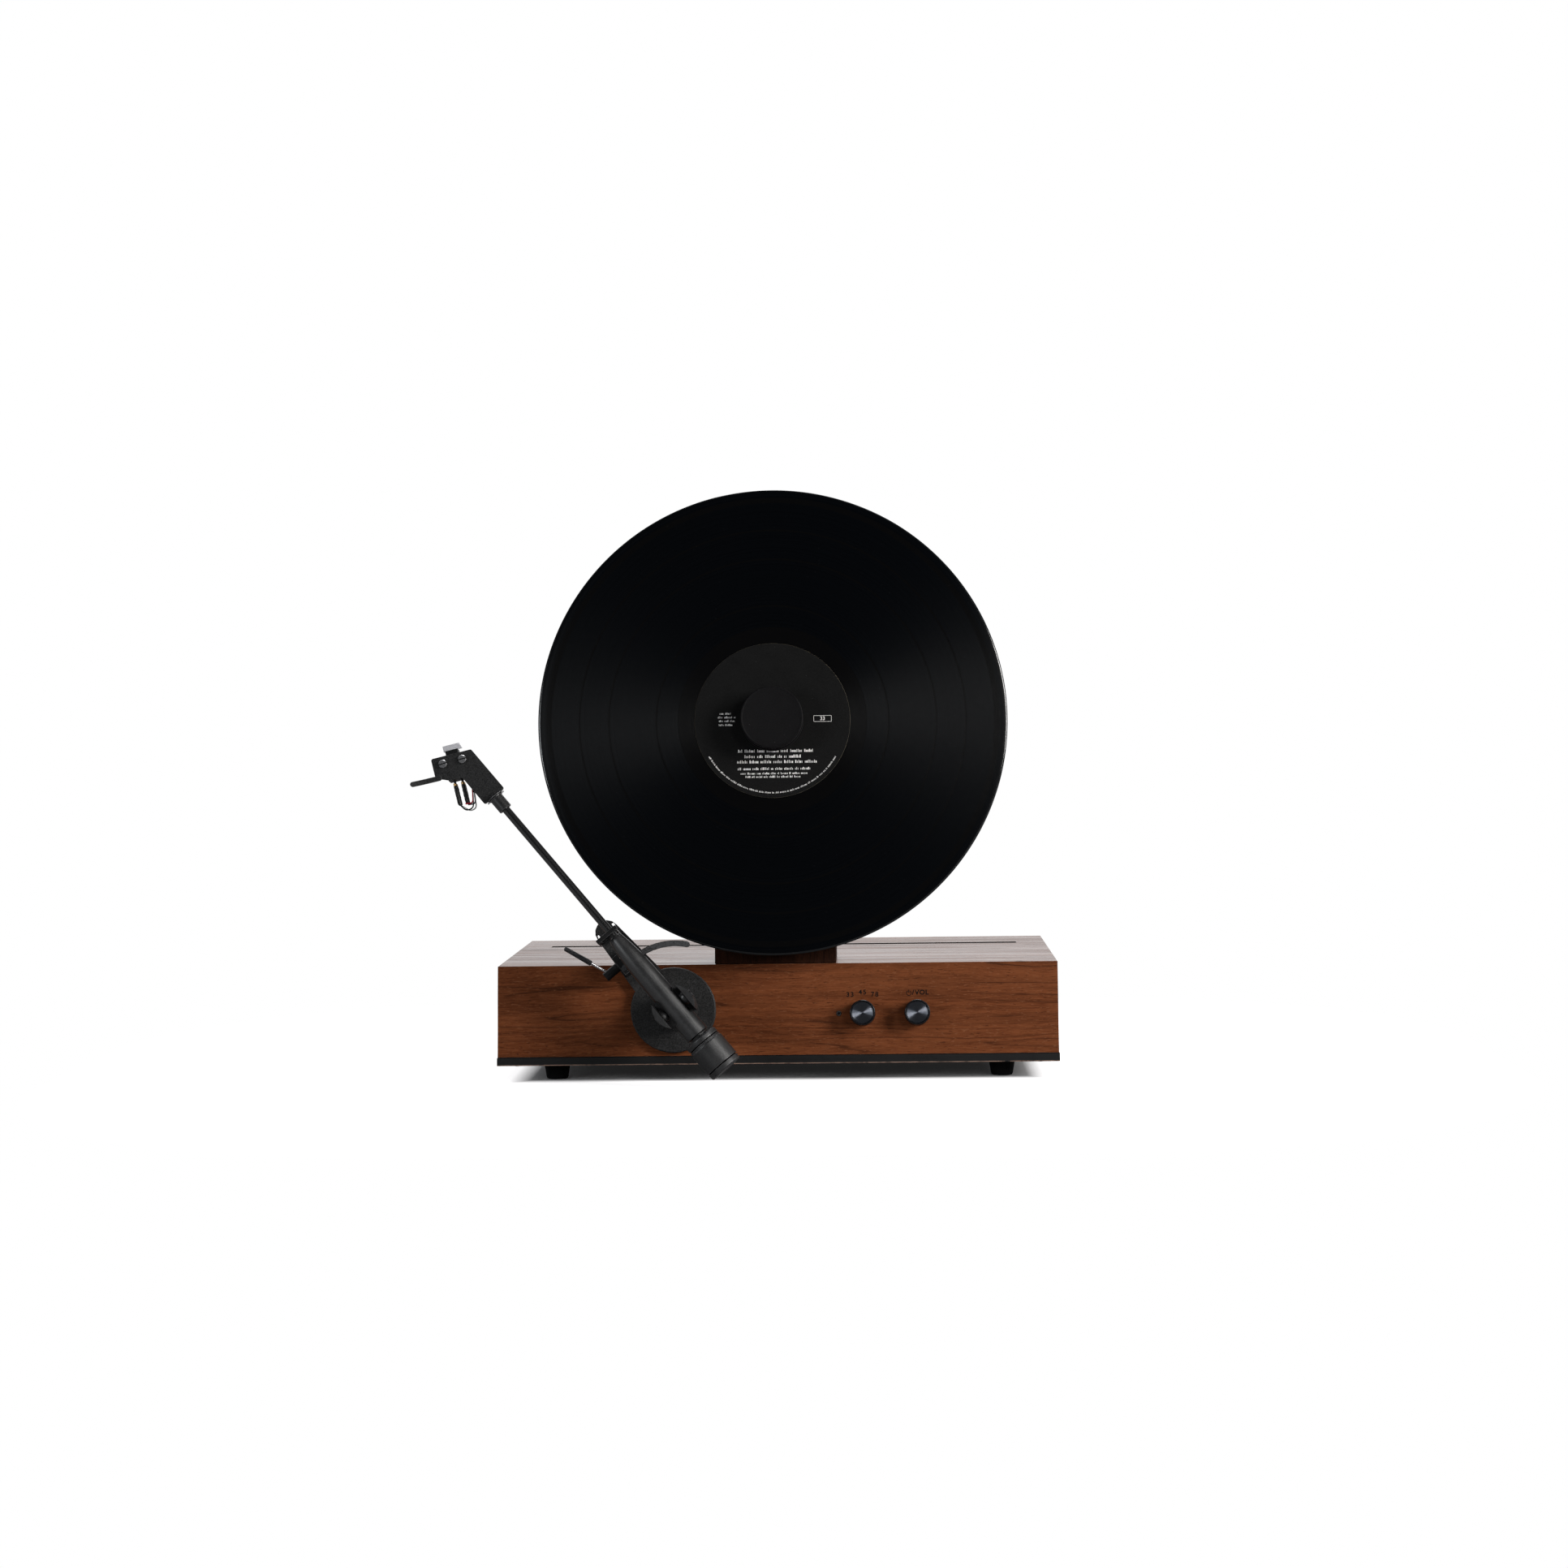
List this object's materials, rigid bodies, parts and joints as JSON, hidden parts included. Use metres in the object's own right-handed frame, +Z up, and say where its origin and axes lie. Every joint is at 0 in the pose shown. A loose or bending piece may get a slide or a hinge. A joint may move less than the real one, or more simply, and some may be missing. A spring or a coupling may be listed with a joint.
{
  "type": "vertical record player",
  "caption": "Vertical record player: wooden base with sleeve slot, post, spindle and clamp holding a record upright, pivoted tonearm with cueing, knobs and sockets.",
  "frame": {"origin": "centre of the bounding box's bottom face, on the surface the feet stand on", "axes": "+X right seen from the front, +Y to the back, +Z up; the deck leans back 8.6 degrees about X"},
  "size_m": [0.4108, 0.273, 0.3805],
  "materials": {
    "walnut": "satin",
    "walnut_top": "satin",
    "dark_wood": "satin",
    "black_board": "matte",
    "black_plastic": "matte",
    "black_rubber": "matte",
    "clamp_rubber": "satin",
    "vinyl": "gloss, grooved",
    "label_paper": "matte paper",
    "anodised": "fine sandblasted, black",
    "weight_metal": "fine sandblasted, black",
    "steel": "bright",
    "brass": "bright",
    "zinc": "satin",
    "grey_rubber": "matte",
    "knob_metal": "spun face, dark",
    "board_green": "satin",
    "lamp": "gloss",
    "lead": "satin",
    "nylon": "satin"
  },
  "bodies": {
    "case": {"front_panel": "walnut", "top_panel": "walnut_top", "side_panel_left": "walnut", "side_panel_right": "walnut", "rear_panel": "black_board", "bottom_plate": "black_board", "foot_front_left": "black_rubber", "foot_front_right": "black_rubber", "foot_rear_left": "black_rubber", "foot_rear_right": "black_rubber", "sleeve_trough": "black_plastic", "post_bolt_left": "steel", "post_bolt_right": "steel", "post_shell": "dark_wood", "post_cover": "black_plastic", "bearing_housing": "anodised", "drive_motor": "zinc", "drive_belt": "black_rubber", "amplifier_board": "board_green", "line_jacks": "brass", "power_inlet": "black_plastic", "speaker_terminals": "black_plastic", "speed_switch": "zinc", "volume_control": "zinc", "status_lamp": "lamp", "arm_base": "black_plastic", "arm_clip": "black_plastic", "arm_pillar": "anodised", "arm_nut": "steel", "cue_block": "black_plastic"},
    "platter_assembly": {"spindle": "steel", "platter": "anodised", "platter_mat": "black_rubber", "driven_pulley": "nylon", "vinyl_record": "vinyl", "record_label": "label_paper"},
    "clamp": {"record_clamp": "clamp_rubber"},
    "motor_pulley_body": {"motor_pulley": "brass"},
    "yoke": {"gimbal_yoke": "anodised", "pivot_screw_left": "steel", "pivot_screw_right": "steel"},
    "wand": {"arm_housing": "anodised", "arm_tube": "anodised", "shell_collar": "anodised", "headshell": "anodised", "finger_lift": "anodised", "cartridge_screw_left": "steel", "cartridge_screw_right": "steel", "cartridge_body": "black_plastic", "stylus_holder": "black_plastic", "cartridge_leads": "lead", "rear_stub": "anodised"},
    "bush": {"weight_bush": "nylon"},
    "weight": {"counterweight": "weight_metal"},
    "lever": {"cue_lever": "steel", "cue_handle": "black_rubber"},
    "lift_bar": {"cue_lift": "grey_rubber"},
    "speed": {"speed_knob": "knob_metal"},
    "volume": {"volume_knob": "knob_metal"}
  },
  "joints": [
    {"name": "platter_spin", "type": "hinge", "parent": "case", "child": "platter_assembly", "pos_m": [0.02398, -0.05064, 0.22806], "axis": [0, 0.9888, -0.1495], "continuous": true},
    {"name": "motor_spin", "type": "hinge", "parent": "case", "child": "motor_pulley_body", "pos_m": [0.02398, -0.06512, 0.13235], "axis": [0, 0.9888, -0.1495], "continuous": true},
    {"name": "clamp_slide", "type": "slide", "parent": "platter_assembly", "child": "clamp", "axis": [0, -0.9888, 0.1495], "range_m": [0, 0.012]},
    {"name": "tonearm_swing", "type": "hinge", "parent": "case", "child": "yoke", "pos_m": [-0.03852, -0.07812, 0.04633], "axis": [0, 0.9888, -0.1495], "range_deg": [0, 46]},
    {"name": "tonearm_lift", "type": "hinge", "parent": "yoke", "child": "wand", "pos_m": [-0.03852, -0.11965, 0.05261], "axis": [0.7649, 0.0963, 0.6369], "range_deg": [0, 3]},
    {"name": "weight_slide", "type": "slide", "parent": "wand", "child": "bush", "axis": [-0.6441, 0.1144, 0.7563], "range_m": [0, 0.0018]},
    {"name": "weight_turn", "type": "hinge", "parent": "bush", "child": "weight", "pos_m": [-0.03852, -0.11965, 0.05261], "axis": [-0.6441, 0.1144, 0.7563], "range_deg": [0, 650]},
    {"name": "cue_lever_turn", "type": "hinge", "parent": "case", "child": "lever", "pos_m": [-0.06744, -0.08881, 0.08268], "axis": [0.7649, 0.0963, 0.6369], "range_deg": [0, 60]},
    {"name": "cue_lift_slide", "type": "slide", "parent": "case", "child": "lift_bar", "axis": [0, -0.9888, 0.1495], "range_m": [0, 0.0022]},
    {"name": "speed_knob_turn", "type": "hinge", "parent": "case", "child": "speed", "pos_m": [0.07958, -0.0786, 0.04316], "axis": [0, 0.9888, -0.1495], "range_deg": [-30, 30]},
    {"name": "volume_knob_turn", "type": "hinge", "parent": "case", "child": "volume", "pos_m": [0.11458, -0.0786, 0.04316], "axis": [0, 0.9888, -0.1495], "range_deg": [0, 300]}
  ],
  "couplings": [
    {"joint": "motor_spin", "follows": "platter_spin", "ratio": 4.629},
    {"joint": "weight_turn", "follows": "weight_slide", "rad_per_m": 6283.2},
    {"joint": "cue_lever_turn", "follows": "tonearm_lift", "ratio": 20},
    {"joint": "cue_lift_slide", "follows": "tonearm_lift", "m_per_rad": 0.042}
  ]
}
